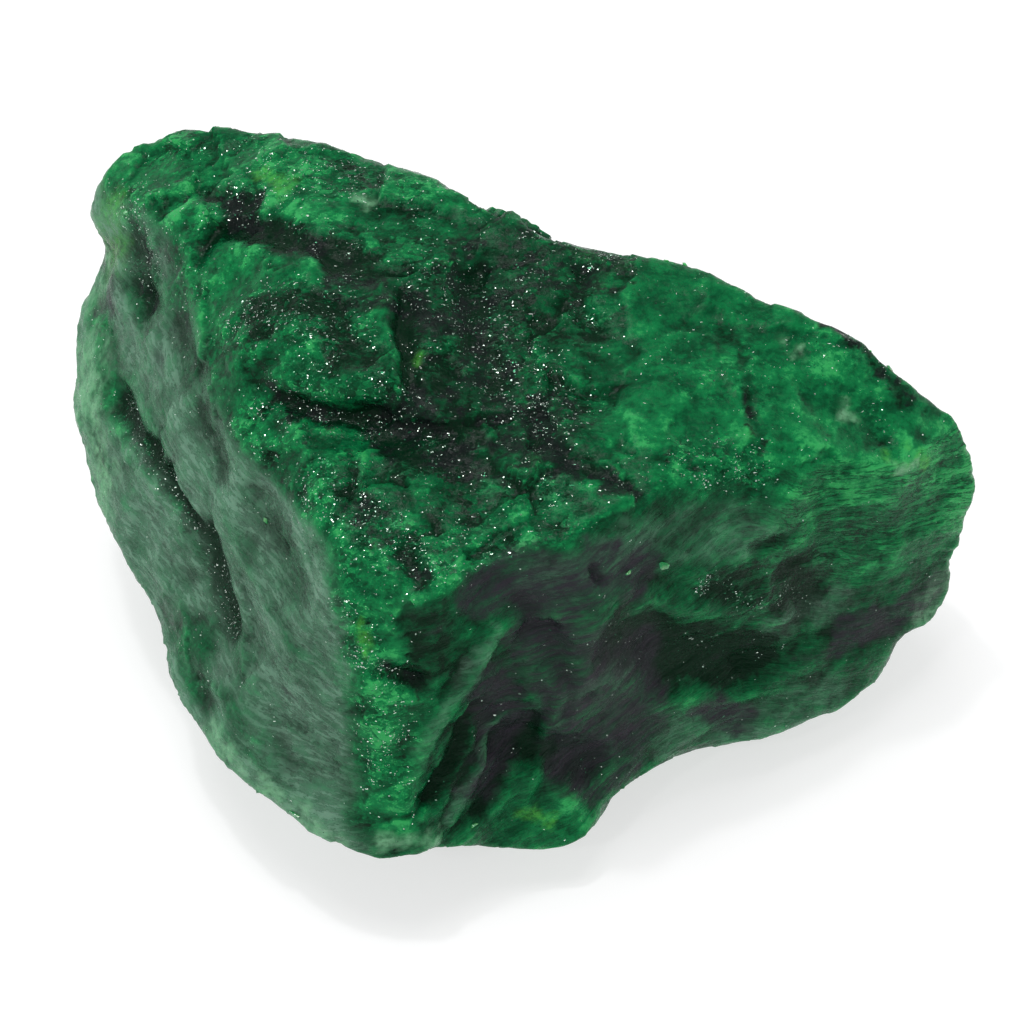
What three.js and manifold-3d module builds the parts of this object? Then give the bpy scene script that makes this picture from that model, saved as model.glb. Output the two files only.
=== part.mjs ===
// A raw emerald: one lump of massive green beryl as it was broken from its schist,
// lying on a flat cleavage face. It is a single solid with no holder.
//
// The lump is drawn as landmarks on its surface: the crests where two fracture faces
// meet, the hems where a wall turns under, and the hollows and swells between them.
// Seen from the heart of the stone no landmark hides another, so the facets between
// them are the hull of their directions. The facets are then split finely, worn a
// little along their crests, roughened by the grain of the mineral, and cut flat
// where the stone rests.
//
// Millimetres. +X runs along the stone, +Y away from its sharp front corner, +Z up.
// The origin is at the middle of the stone's footprint box, on the resting face.

import * as THREE from "three";
import { ConvexHull } from "three/addons/math/ConvexHull.js";
import { ImprovedNoise } from "three/addons/math/ImprovedNoise.js";
import { TessellateModifier } from "three/addons/modifiers/TessellateModifier.js";
import { mergeVertices } from "three/addons/utils/BufferGeometryUtils.js";
import Module from "manifold-3d";

// Driving dimensions of the finished stone.
const LENGTH = 50;
const DEPTH = 40;
const HEIGHT = 26;

// The longest edge of the finished surface, and how far wear rounds its crests.
const EDGE = 1.75;
const SPLIT_ROUNDS = 12;
const WEAR_SHARE = 0.3;

// The roughness of the broken surface: one row for each size of bump, in mm.
const GRAIN = [
  { across: 9, high: 0.55 },
  { across: 4, high: 0.3 },
  { across: 2, high: 0.14 },
];

// The heart of the stone, from which every landmark can be seen.
const HEART = new THREE.Vector3(0, 0, 12);

// Landmarks, each [along, back, up] in mm, following one line or face at a time.
const LANDMARKS = {
  // The crest of the back, from the rounded knob down to the tip at the right end.
  backCrest: [
    [-22, 17.7, 22.5],
    [-18.4, 17.8, 24],
    [-13.4, 16.4, 25],
    [-7.5, 14, 25.5],
    [-2.8, 10.5, 26],
    [2, 7.7, 26],
    [6.1, 6.9, 25.5],
    [9.6, 6.4, 25],
    [14.9, 3.9, 24],
    [18.9, 2.6, 22.5],
    [22.5, 0.8, 20.5],
    [24.6, 0.4, 19],
  ],
  // The blunt right end, top to bottom.
  rightEnd: [
    [25.2, 0, 17],
    [25.4, -0.5, 13.5],
    [25.3, -0.6, 10],
    [24.9, -1.2, 8.5],
    [24.9, -1.6, 6],
    [24.1, -2.1, 5.5],
  ],
  // The front hem, from the step under the right end to the notch by the nose.
  frontHem: [
    [21.1, -4.1, 6],
    [20.6, -4.9, 3.5],
    [18.2, -6.7, 3],
    [12.5, -9.1, 3.5],
    [9.7, -10.3, 4],
    [7, -11.9, 4],
    [4.8, -13.9, 4.5],
    [3.9, -15.8, 3.5],
    [1.8, -16.5, 3],
    [-1.7, -17, 4],
    [-3.3, -18.3, 6],
    [-4.3, -19.9, 6.5],
    [-7.3, -19.9, 6],
  ],
  // The left hem, from the nose back to the knob.
  leftHem: [
    [-10.2, -18.4, 6.5],
    [-13.5, -15.7, 7],
    [-16.3, -12.4, 7],
    [-18.6, -9, 7.5],
    [-19.9, -5.1, 8],
    [-21.4, -1.6, 9],
    [-23.5, 2.7, 10],
    [-24.9, 8.5, 12],
    [-24.6, 12, 14],
    [-23.4, 14.6, 17],
    [-23.7, 15.9, 20],
    [-23, 16.6, 22],
  ],
  // The left crest, from the knob to the nose.
  leftCrest: [
    [-19, 11.5, 23.5],
    [-16, 5, 23.5],
    [-14.5, 0.5, 23.5],
    [-12.5, -2.4, 23.5],
    [-9.5, -7.4, 23.5],
    [-8.6, -11.4, 22.5],
    [-8.6, -13.8, 20.5],
    [-8.1, -16.2, 17],
    [-7.2, -17.5, 12],
    [-6.7, -19.1, 9],
  ],
  // The front corner and the right edge of the narrow face that hangs from it.
  frontCorner: [
    [-3.7, -14.4, 22],
    [-4.2, -15.5, 18.5],
    [-4.3, -16.4, 14],
    [-5.1, -18.6, 10],
  ],
  // The right crest, from the front corner to the right end.
  rightCrest: [
    [-1.9, -13.1, 22.5],
    [2.5, -12, 23.5],
    [6.7, -9.5, 23.8],
    [9.9, -7.7, 23.6],
    [13.1, -5.7, 23],
    [16.9, -4.8, 21.8],
    [20.8, -3.7, 19.8],
  ],
  // Swells and ledges of the top.
  top: [
    [-11.4, 7.8, 26],
    [-11.2, 0.3, 26],
    [-6.6, -3.9, 25.5],
    [-6.1, -4.2, 23.5],
    [-6, 3, 25.5],
    [-1.7, 3.5, 25],
    [-2.2, -5, 24],
    [2.5, -3.3, 24.5],
    [5.7, 1.2, 25],
    [9.9, -2.8, 24],
    [15.2, -1.2, 22.9],
    [19, -1.5, 21],
  ],
  // The undercuts below the hem, beside the wedge and under the right end.
  undercuts: [
    [5.2, -12, 2.6],
    [21.7, -1.4, 3.4],
    [-2.6, -15.6, 3.2],
  ],
  // Hollows and flutes of the front wall.
  frontWall: [
    [0.4, -13.5, 17],
    [4.6, -13.4, 18.5],
    [7.2, -10.6, 20],
    [7.9, -10.2, 11.5],
    [12, -9.3, 18.5],
    [12.4, -8.7, 8],
    [16.4, -5.5, 17.5],
    [17.3, -5.7, 9.5],
    [21.1, -3.5, 12],
    [2.6, -14.3, 8],
    [-0.6, -14, 11],
  ],
  // The left wall.
  leftWall: [
    [-21.7, 9.1, 17],
    [-19.7, 2.2, 17],
    [-16.8, -4.2, 16],
    [-16, -6.6, 13],
    [-12.8, -11.8, 15],
    [-11.8, -14.4, 11.5],
    [-17.9, 2.4, 20],
    [-13.8, -5.1, 21],
  ],
  // The back wall, which leans out below its crest and is broken by a slanting step.
  backWall: [
    [-22.5, 15.5, 11],
    [-17, 20.3, 13],
    [-12, 19.6, 15.5],
    [-8.5, 17.2, 14.5],
    [-7, 19, 10.5],
    [-1.5, 14.6, 18],
    [0.5, 14, 13],
    [3, 15.6, 9.5],
    [7, 12.7, 16],
    [10, 10.2, 12],
    [13, 11.6, 8.5],
    [16.5, 7.4, 16.5],
    [20, 7.5, 11],
    [24.2, 3.8, 10],
  ],
  // The back hem, low down.
  backHem: [
    [-17, 16.5, 4.5],
    [-11.5, 15, 3.5],
    [-6, 16.6, 3],
    [4, 12, 2.5],
    [13, 8, 2.5],
    [20, 3.5, 3],
    [-20, 8, 4],
    [-17.5, -2, 3.5],
  ],
  // The underside. It dips just below zero and is cut off there, as the resting face.
  foot: [
    [-12, 11, -1.5],
    [-3, 12, -1.5],
    [6, 9, -1.5],
    [13, 4, -1.5],
    [15, -2, -1.5],
    [8, -6, -1.5],
    [0, -8, -1.5],
    [-8, -8, -1.5],
    [-14, -2, -1.5],
    [-15, 5, -1.5],
    [0, 2, -1.5],
  ],
};

// The lump as flat facets between its landmarks.
function facetedLump(landmarks) {
  const placeOf = new Map();
  for (const [along, back, up] of Object.values(landmarks).flat()) {
    const place = new THREE.Vector3(along, back, up);
    placeOf.set(place.clone().sub(HEART).normalize(), place);
  }
  const hull = new ConvexHull().setFromPoints([...placeOf.keys()]);
  const corners = [];
  for (const face of hull.faces) {
    let edge = face.edge;
    do {
      corners.push(placeOf.get(edge.head().point));
      edge = edge.next;
    } while (edge !== face.edge);
  }
  return new THREE.BufferGeometry().setFromPoints(corners);
}

// Splits every facet until no edge is longer than EDGE.
function splitFacets(lump) {
  const split = new TessellateModifier(EDGE, SPLIT_ROUNDS).modify(lump);
  return mergeVertices(split, 1e-4);
}

// Moves each vertex part of the way to the mean of its neighbours, as wear does to a crest.
function wearCrests(lump) {
  const position = lump.attributes.position;
  const index = lump.index.array;
  const sums = Array.from({ length: position.count }, () => new THREE.Vector4(0, 0, 0, 0));
  for (let i = 0; i < index.length; i += 3) {
    for (const [from, to] of [[0, 1], [1, 2], [2, 0]]) {
      const here = new THREE.Vector3().fromBufferAttribute(position, index[i + from]);
      sums[index[i + to]].add(new THREE.Vector4(here.x, here.y, here.z, 1));
    }
  }
  for (let i = 0; i < position.count; i++) {
    const mean = new THREE.Vector3(sums[i].x, sums[i].y, sums[i].z).divideScalar(sums[i].w);
    const here = new THREE.Vector3().fromBufferAttribute(position, i).lerp(mean, WEAR_SHARE);
    position.setXYZ(i, here.x, here.y, here.z);
  }
}

// Raises and sinks the surface along its normals by layered gradient noise.
function roughen(lump) {
  const noise = new ImprovedNoise();
  lump.computeVertexNormals();
  const position = lump.attributes.position;
  const normals = lump.attributes.normal;
  for (let i = 0; i < position.count; i++) {
    const place = new THREE.Vector3().fromBufferAttribute(position, i);
    const normal = new THREE.Vector3().fromBufferAttribute(normals, i);
    let height = 0;
    for (const { across, high } of GRAIN) {
      height += high * noise.noise(place.x / across, place.y / across, place.z / across);
    }
    place.addScaledVector(normal, height);
    position.setXYZ(i, place.x, place.y, place.z);
  }
  lump.deleteAttribute("normal");
}

// Scales the lump to the driving dimensions and puts the middle of its box over the origin.
function fitToSize(lump) {
  lump.computeBoundingBox();
  const { min, max } = lump.boundingBox;
  lump.translate(-(min.x + max.x) / 2, -(min.y + max.y) / 2, 0);
  lump.scale(LENGTH / (max.x - min.x), DEPTH / (max.y - min.y), HEIGHT / max.z);
}

const wasm = await Module();
wasm.setup();

function solidFrom(geometry) {
  const closed = geometry.clone();
  closed.deleteAttribute("normal");
  closed.deleteAttribute("uv");
  const merged = mergeVertices(closed, 1e-4);
  return new wasm.Manifold(
    new wasm.Mesh({
      numProp: 3,
      vertProperties: merged.attributes.position.array,
      triVerts: new Uint32Array(merged.index.array),
    }),
  );
}

function geometryFrom(solid) {
  const mesh = solid.getMesh();
  const geometry = new THREE.BufferGeometry();
  geometry.setAttribute("position", new THREE.BufferAttribute(mesh.vertProperties, 3));
  geometry.setIndex(new THREE.BufferAttribute(mesh.triVerts, 1));
  return geometry;
}

// Cuts the lump off flat at zero, which leaves the face that it rests on.
function cutRestingFace(lump) {
  const ground = new THREE.BoxGeometry(3 * LENGTH, 3 * DEPTH, HEIGHT);
  ground.translate(0, 0, -HEIGHT / 2);
  return geometryFrom(solidFrom(lump).subtract(solidFrom(ground)));
}

const lump = splitFacets(facetedLump(LANDMARKS));
wearCrests(lump);
roughen(lump);
fitToSize(lump);

const beryl = new THREE.MeshStandardMaterial({ color: 0x12703c, roughness: 0.35, metalness: 0 });
const stone = new THREE.Mesh(cutRestingFace(lump), beryl);
stone.name = "emerald_lump";

const emerald = new THREE.Group();
emerald.add(stone);

export default emerald;
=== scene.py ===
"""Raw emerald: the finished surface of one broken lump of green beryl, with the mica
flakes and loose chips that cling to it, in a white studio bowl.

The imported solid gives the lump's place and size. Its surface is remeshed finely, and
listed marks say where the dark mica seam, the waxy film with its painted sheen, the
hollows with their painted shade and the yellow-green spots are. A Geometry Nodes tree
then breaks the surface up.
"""

import math
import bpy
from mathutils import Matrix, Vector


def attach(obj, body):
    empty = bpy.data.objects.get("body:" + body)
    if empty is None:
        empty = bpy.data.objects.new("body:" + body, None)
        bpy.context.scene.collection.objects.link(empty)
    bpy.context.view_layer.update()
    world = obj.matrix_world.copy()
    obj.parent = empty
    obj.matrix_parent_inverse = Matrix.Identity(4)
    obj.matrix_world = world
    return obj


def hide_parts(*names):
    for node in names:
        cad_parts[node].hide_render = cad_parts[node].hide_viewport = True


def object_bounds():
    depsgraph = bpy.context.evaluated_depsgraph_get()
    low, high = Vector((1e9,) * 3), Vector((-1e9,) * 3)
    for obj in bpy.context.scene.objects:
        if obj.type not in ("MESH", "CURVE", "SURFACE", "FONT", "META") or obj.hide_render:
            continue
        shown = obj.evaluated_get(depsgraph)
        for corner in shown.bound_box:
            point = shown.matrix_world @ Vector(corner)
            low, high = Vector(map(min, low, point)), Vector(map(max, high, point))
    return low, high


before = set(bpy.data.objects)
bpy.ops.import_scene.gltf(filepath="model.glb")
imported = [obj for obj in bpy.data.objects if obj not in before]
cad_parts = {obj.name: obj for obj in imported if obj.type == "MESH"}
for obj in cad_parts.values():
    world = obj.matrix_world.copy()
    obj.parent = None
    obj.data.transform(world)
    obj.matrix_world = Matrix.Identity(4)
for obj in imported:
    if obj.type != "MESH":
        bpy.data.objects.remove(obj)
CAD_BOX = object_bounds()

from types import SimpleNamespace

import bmesh
import bpy
import numpy as np
from bpy.props import FloatProperty, FloatVectorProperty, IntProperty, PointerProperty
from mathutils import Vector, noise
from mathutils.bvhtree import BVHTree

bl_info = {
    "name": "Raw emerald",
    "version": (1, 0, 0),
    "blender": (4, 5, 0),
    "location": "3D View > Sidebar > Emerald",
    "description": "Builds a rough emerald with mica flakes and chips in a white studio bowl",
    "category": "Object",
}

# The layers lie almost level. These are the directions through them, on the long walls
# and at the narrow end.
THROUGH_LAYERS = (-0.18, -0.13, 1.0)
THROUGH_END = (0.2, 0.37, 1.0)
# The ribs beside the sharp corner run this way, down and forward, along this line.
ALONG_FLUTES = (-0.43, -0.4, -0.81)
FLUTED = [(-1.6, -14.8, 17.5), (-2.4, -16, 12.4), (-3.4, -17.8, 8)]
# The sharp corner, which is as rough as the top.
NOSE = [(-7.4, -14.4, 21), (-6.9, -17.4, 14), (-6.6, -19, 9)]
NODE = "emerald_lump"
BODY = "root"
MM = 0.001
# Where the noise that bends the marks and shapes the chips starts. Without it, each run differs.
NOISE_SEED = 7
BERYL_IOR = 1.58

# Lines on the stone that several marks share, as places in millimetres.
LEFT_GROOVE = [(-21.9, 5.3, 15.1), (-21, 3, 15.1), (-19.4, -0.1, 15.3), (-17.7, -3.5, 14.9)]
LEFT_HOLLOW = [(-16.8, -4.8, 15.2), (-16.2, -6.2, 13.5), (-15.5, -8.5, 12.4)]
LONG_RIB = [(-1.4, -14.6, 18.3), (-3, -16, 15.6), (-4.8, -17.4, 13.1), (-5.9, -18.8, 9.8)]
SHORT_RIB = [(-1.2, -14.7, 11.5), (-2.2, -16.4, 9.4), (-3.5, -18.1, 7.3)]
FRONT_HOLLOW = [(5.4, -13, 16.1), (6.8, -11.8, 14)]
RIGHT_HOLLOW = [(8.7, -10.2, 11.9), (12.1, -9.2, 9.9)]
KNOB_BAND = [(-15, 9.6, 24.8), (-12.6, 7.6, 25.5), (-9.7, 6, 25.6)]

# Marks on the stone. Each stroke is (width, points), both in millimetres: the width is
# how far it reaches to each side of the line through its points.
COLOUR_MARKS = {
    # The black and purple mica seam across the top, and its offshoots.
    "mica": [
        (2.6, [(4.5, 6.2, 25), (-1, 6.5, 25.5), (-2.5, 1.5, 25.2), (-2, -2, 24.5)]),
        (2.4, [(-5, -5, 23.6), (-1.9, -6, 23.6), (1.5, -5.5, 24)]),
        (1.5, [(-9, 3.4, 25.6), (-7, 3, 25.6), (-3, 3.5, 25.2)]),
        (0.6, [(-12, -3.2, 23.6), (-9.8, -3.7, 23.6), (-7, -4.2, 24)]),
        (0.7, [(1, -6, 23.9), (2.5, -7.5, 24), (5.9, -9.2, 23.7)]),
        (0.35, [(-15.7, 1.5, 22.9), (-13.6, -1.2, 23.6), (-12, -3, 23.6)]),
        (0.8, [(-17.2, 12, 24.4), (-14.8, 10.8, 24.9)]),
        (0.6, [(-20.8, 9.4, 19.5), (-20, 8, 19.7)]),
        (0.5, [(-21, 12, 21.8), (-20.4, 10.6, 20.8)]),
        (0.8, KNOB_BAND),
        (0.3, [(12.2, -2.4, 23.4), (12.3, -4, 23.2), (12.8, -5.7, 22.9)]),
        (0.5, [(15, 4.4, 23.4), (18.4, 2.4, 22.5), (19.8, 1, 21.5), (20.8, -0.4, 20.8)]),
        (0.5, [(-6.3, -16.5, 17.8), (-5.3, -16.8, 16.8)]),
        (0.7, [(-5.8, -12.6, 22.8), (-5.2, -13.9, 22.2)]),
        (1.0, [(-8.5, -9.5, 23.2), (-7.2, -11.5, 22.8)]),
        (1.4, [(0, 13.4, 15), (4, 13, 18), (7, 11.5, 17)]),
        (1.2, [(-13, 19, 16), (-9, 17, 15)]),
        (1.6, [(20, 6, 14), (22, 3.6, 11)]),
    ],
    # The dusky film over the front wall, which also paints shade there, and streaks of it elsewhere.
    "dusk": [
        (2.2, [(1.2, -13.2, 20.3), (2.3, -14.1, 17.3), (3.3, -14.3, 12.7), (5, -13.4, 6.6)]),
        (1.5, [(-1.4, -14.2, 21), (3.5, -12.6, 20.9), (6, -11.5, 20)]),
        (1.7, [(6.2, -11.9, 13), (6.6, -12, 8.2), (3.5, -14, 7)]),
        (1.3, [(-1.4, -14.8, 15), (-0.6, -14.8, 11), (-2.4, -15.8, 8)]),
        (0.9, [(10.5, -10, 7), (12.2, -9.4, 5)]),
        (1.0, [(17.6, -6.2, 8.2), (20.6, -4.2, 7.8), (22.9, -2.5, 7.6)]),
        (1.1, [(-22, 11, 17), (-22.6, 12.6, 14)]),
        (1.4, [(8, 12.4, 9), (13, 11, 8)]),
    ],
    # Painted shade in hollows and clefts, where the green is also deep and clear.
    "deep": [
        (1.9, FRONT_HOLLOW),
        (1.6, RIGHT_HOLLOW),
        (1.3, [(10.8, -9.6, 17), (12.2, -9.2, 16)]),
        (0.35, [(11.6, 1.4, 23.9), (12.1, -0.8, 23.7), (12.3, -3.2, 23.3)]),
        (0.8, [(8.6, 8.2, 24.6), (12, 6.4, 24), (15, 4.6, 23.4), (18.6, 2.6, 22.4), (21.4, 0, 20.6)]),
        (0.8, LEFT_HOLLOW),
        (0.6, LEFT_GROOVE),
        (1.0, [(-2.2, -15.2, 12.5), (-3, -16.8, 9.9)]),
        (1.3, [(0.5, -14.6, 9.8), (3.4, -14.4, 7.8)]),
        (0.9, [(-4.9, -15.3, 20.5), (-4.4, -15.8, 17.5)]),
        (1.2, KNOB_BAND),
        (1.8, [(-8, -2, 25), (-4, -6, 23.8)]),
        (1.1, [(-13.2, 2, 25.2), (-10.4, 1, 25.8)]),
        (1.2, [(-5.4, 1.4, 25.3), (-5, -1, 25.2)]),
        (1.5, [(14.5, -7.6, 14.5), (15.5, -6.9, 12.5)]),
        (1.8, [(-6, 17.6, 12), (-1, 15, 13)]),
    ],
    # Clear bright green windows.
    "bright": [
        (1.2, [(-16.4, 7.3, 23.8), (-14.1, 5.8, 24.7), (-11.6, 4.6, 25.8)]),
        (2.6, [(-21.6, 14.6, 22.4), (-18.6, 13.6, 23.6)]),
        (1.8, [(-7.2, -15.8, 19), (-6.8, -17.6, 14), (-6.7, -19, 10)]),
        (3.2, [(6.5, 3.6, 24.9), (10, 0.6, 24), (15, -1, 23), (18.5, -1.8, 21.6)]),
        (2.6, [(6.5, -3.6, 24.3), (10.5, -4.4, 23.4)]),
        (2.4, [(16.5, -5.4, 19.6), (21.5, -3, 17.6), (24.4, -1, 15.6)]),
        (2.0, [(17.5, -5.4, 14.4), (23.6, -2, 12.4)]),
        (1.1, [(0.4, -16.3, 6), (2.3, -15.6, 5.6)]),
        (1.6, [(-12.6, 12, 25.3), (-10.4, 9.6, 25.7)]),
        (0.7, [(-1.2, -9.4, 23.2), (1.4, -9.8, 23.2)]),
        (1.8, [(6.4, 1, 24.6), (5.6, 3.2, 24.9)]),
        (1.6, [(-23.6, 11.6, 15.6), (-24, 8.6, 12.6)]),
        (2.2, [(10, 11.4, 14), (15, 8.6, 14)]),
    ],
    # Yellow-green spots, where thin edges let light through.
    "lime": [
        (1.3, [(-22.9, 14, 20.4), (-22.7, 13, 19)]),
        (0.5, [(-13.6, 12.4, 25.3), (-12.6, 11.4, 25.5)]),
        (0.4, [(0.8, -16.2, 5.4), (1.4, -16, 4.6)]),
        (0.35, [(-8.1, -15, 19.6), (-7.8, -15.8, 18.4)]),
        (0.4, [(19.4, -3.6, 19.6), (22.6, -2.4, 18.6)]),
        (0.25, [(-5.4, -1, 25), (-5.4, -2, 24.8)]),
        (0.8, [(22.5, 5, 10), (23.5, 4, 12)]),
    ],
    # Where mica glints crowd together.
    "sparkle": [
        (1.3, [(-13, -2.6, 24), (-9.8, -3.6, 24), (-6.6, -4.4, 24.4)]),
        (1.5, [(-10.4, -8.4, 23.2), (-7.4, -11, 23), (-5, -13, 22.6)]),
        (1.2, [(-8.2, -14.6, 20), (-7.2, -16.4, 16.6), (-6.8, -18, 12)]),
        (1.6, [(-13.4, 2.6, 25), (-9.4, 0.4, 25.6)]),
        (1.2, [(-21.8, 13.4, 22.4), (-20.6, 9.6, 21)]),
        (0.7, LEFT_GROOVE),
        (0.9, [(-16.4, -6, 14), (-15.5, -8.5, 12.4)]),
        (1.8, [(-4, 4, 25.2), (-1, 1, 25), (1, -4, 24)]),
        (1.0, [(2, 8, 24.6), (5, 7, 24.8)]),
        (1.4, [(-9, 12, 25), (-14, 12, 25)]),
        (1.0, [(9, -7.2, 23.4), (12.4, -6.6, 22.4)]),
        (0.45, [(9.6, -10, 17.8), (11.2, -9.4, 16.4), (12, -9, 14.6), (15.4, -7.2, 13.2)]),
    ],
    # Waxy film that reaches round onto the front wall, and painted sheen that lies on its ribs.
    "film": [
        (1.2, [(1.5, -13, 20.6), (6.4, -10.8, 21), (9.6, -9.3, 20.4), (12.8, -8.3, 19.6)]),
        (1.3, [(8.9, -10.8, 5.6), (13.4, -9.3, 4.5), (16.7, -7.6, 4.6)]),
        (0.4, LONG_RIB),
        (0.4, SHORT_RIB),
        (0.8, [(14, -7.8, 11.6), (18, -5.8, 10.6)]),
        (0.7, [(3.4, -13.6, 13.6), (6.4, -12.2, 12.8)]),
    ],
    # Whitish bruised edges and milky spots, partly painted highlights and painted reflection along the
    # rims.
    "pale": [
        (1.6, [(-24.2, 9, 14), (-24.2, 5.6, 12), (-23.2, 2.6, 10.6)]),
        (1.0, [(-23.4, 14.6, 18.6), (-23.6, 12.6, 15.6)]),
        (0.35, [(-8.9, 10.4, 25.8), (-8.2, 9.8, 25.8)]),
        (0.35, [(24.2, -0.4, 19.4), (25.2, -0.2, 16.6), (25.3, -0.4, 13)]),
        (0.35, [(20, -3.9, 19.4), (21.4, -3.3, 19.2)]),
        (0.7, [(-10, -19, 6.9), (-13.4, -15.9, 7.4), (-16.4, -12, 7.5)]),
        (0.6, [(-7, -19.7, 7.4), (-4.6, -19.4, 7)]),
        (0.45, [(17.6, -1.8, 22), (18, -2, 21.7)]),
        (0.4, [(14.2, 1.8, 23.4), (14.6, 1.4, 23.3)]),
        (1.2, [(23.2, -2.3, 6.9), (24.4, -1.8, 6.6)]),
    ],
}

# Relief, listed on the same terms: (width, depth, points). A minus depth is a groove.
RELIEF_MARKS = [
    # The ledge on the top, with its drop and the upright step at its right end.
    (0.8, 0.4, [(-12.6, -1.6, 24.4), (-9.8, -2.9, 24.8), (-7.2, -3.3, 25.5)]),
    (0.5, -0.4, [(-12.8, -2.8, 23.9), (-9.9, -3.9, 23.6), (-7, -4.3, 23.9)]),
    (0.7, -0.6, [(-6, 2.8, 25.5), (-5.9, -0.2, 25.4), (-5.6, -2.8, 25.2)]),
    (0.9, 0.35, [(-6.9, 2.6, 25.6), (-6.8, -0.4, 25.6), (-6.5, -2.8, 25.6)]),
    # The band behind the bright block, and the block's raised edge.
    (1.3, -0.35, [(-15.6, 9.8, 24.8), (-12.8, 8, 25.4), (-9.9, 5.8, 25.6)]),
    (0.9, 0.35, [(-16, 8, 24), (-13.6, 6.8, 24.9), (-11.2, 5, 25.8)]),
    (0.8, -0.4, [(-17.4, 12.2, 24.4), (-14.6, 10.6, 24.9)]),
    # The little hollows on the knob's left, and its waist.
    (1.3, -0.5, [(-21.4, 11.6, 21), (-20.8, 9.4, 19.6), (-20.2, 7.8, 19.6)]),
    (1.2, -0.5, [(-23.6, 14.8, 17.6), (-22.6, 13.2, 18.6)]),
    # The seam's clefts.
    (1.0, -0.35, [(-2.4, 5.8, 25.4), (-2.2, 1.5, 25.1), (-1.2, -2.4, 24.3)]),
    (0.6, -0.35, [(1, -6, 23.9), (2.6, -7.3, 24), (5.6, -9, 23.8)]),
    (0.3, -0.12, [(12.1, 0.2, 23.8), (12.3, -2.6, 23.4), (12.7, -5.7, 22.9)]),
    (0.4, -0.15, [(5.4, -6.4, 24.2), (8.5, -7.6, 23.7), (11.4, -7, 22.9)]),
    (0.8, -0.45, [(3.6, 5.4, 25), (3, 3, 24.8), (4, 1.4, 24.8)]),
    # The left wall: its long groove, its hollow, and the soft folds between them.
    (0.9, -0.65, LEFT_GROOVE),
    (1.2, -0.7, LEFT_HOLLOW),
    (1.4, 0.45, [(-20.2, 7, 19), (-18.9, 2.6, 18.2), (-17.4, -1.6, 17.2)]),
    (1.2, -0.4, [(-18.4, 5.4, 20.8), (-16.9, 0.4, 20.4), (-15.8, -3.4, 19.2)]),
    (1.3, 0.4, [(-15.2, -5.4, 17.4), (-13.6, -9, 16.4), (-11.4, -12.8, 15.2)]),
    (1.3, -0.35, [(-13.6, -6, 19.4), (-11.6, -10, 18.6), (-10, -13.6, 17)]),
    (1.2, 0.35, [(-19.4, -3.4, 10.6), (-16.8, -9.2, 10), (-13.2, -14, 9.8)]),
    # The nose and the flutes to its right.
    (0.7, -0.8, [(-6.6, -16.5, 17.8), (-5.2, -16.8, 16.8)]),
    (0.9, 0.35, [(-7.4, -16, 16.6), (-6.8, -17.6, 13.2), (-6.6, -18.9, 9.8)]),
    (0.7, 0.45, LONG_RIB),
    (0.5, -0.5, [(-2.2, -15.6, 13.5), (-3.3, -16.8, 10.7), (-4.6, -18.3, 9.3)]),
    (0.5, 0.4, SHORT_RIB),
    (0.6, -0.5, [(0.7, -14.4, 11.2), (-0.9, -16.1, 8.2), (-2, -17.2, 7)]),
    (0.5, 0.4, [(1.7, -14.2, 15), (2.3, -14.5, 12.9), (1.2, -14.8, 8.3), (0.4, -15.8, 6.1)]),
    (0.8, -0.4, [(-5.8, -12.6, 22.8), (-5, -14.2, 22.2)]),
    # The front wall: its hollows, folds and pit.
    (2.0, -0.8, FRONT_HOLLOW),
    (2.2, -0.7, RIGHT_HOLLOW),
    (0.32, -0.45, [(4, -12.5, 20.9), (4.3, -12.5, 20.5)]),
    (1.0, 0.4, [(-0.8, -14.4, 20), (0.8, -13.8, 16.6), (1, -13.8, 12.6)]),
    (1.0, -0.45, [(0.2, -13.8, 19.6), (2, -13.8, 16), (2.4, -13.8, 11.6)]),
    (1.0, 0.45, [(6.8, -11.4, 17.6), (10.6, -9.8, 15.2), (14, -8, 14.6)]),
    (0.9, 0.35, [(7.6, -11, 8.6), (12.4, -9.2, 7.2), (16.6, -7.2, 7.6)]),
    (1.1, -0.6, [(-1.4, -15, 10.4), (1.6, -14.8, 9.2), (4.2, -14, 7)]),
    (0.6, 0.3, [(1.4, -15.8, 8), (2.8, -15.6, 5.6)]),
    (1.2, -0.5, [(14.2, -7.6, 15), (15.6, -6.9, 12)]),
    (0.5, 0.3, [(-0.6, -14.2, 18.4), (2.6, -13.4, 19), (5.8, -12, 19)]),
    (0.5, -0.35, [(2, -13.6, 18), (5, -12.4, 18)]),
    (0.5, 0.3, [(3.4, -13.4, 13.4), (6.4, -12.2, 12.6), (8.4, -11, 12.6)]),
    (0.5, -0.3, [(12.6, -8.8, 18.6), (15.6, -7.2, 18), (18.6, -5.6, 17.6)]),
    (0.6, 0.3, [(13, -8.8, 12.4), (17, -6.8, 11.4), (20.8, -4.6, 11.4)]),
    (0.5, -0.3, [(12, -9.2, 9), (16.4, -7.2, 9.4), (19.4, -5.6, 9.4)]),
    # The slanting cleft of the back.
    (1.4, -0.6, [(-14, 19.2, 15), (-8, 17.4, 13.6), (0, 14.4, 14.6), (7, 12.2, 13.4)]),
]

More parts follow.
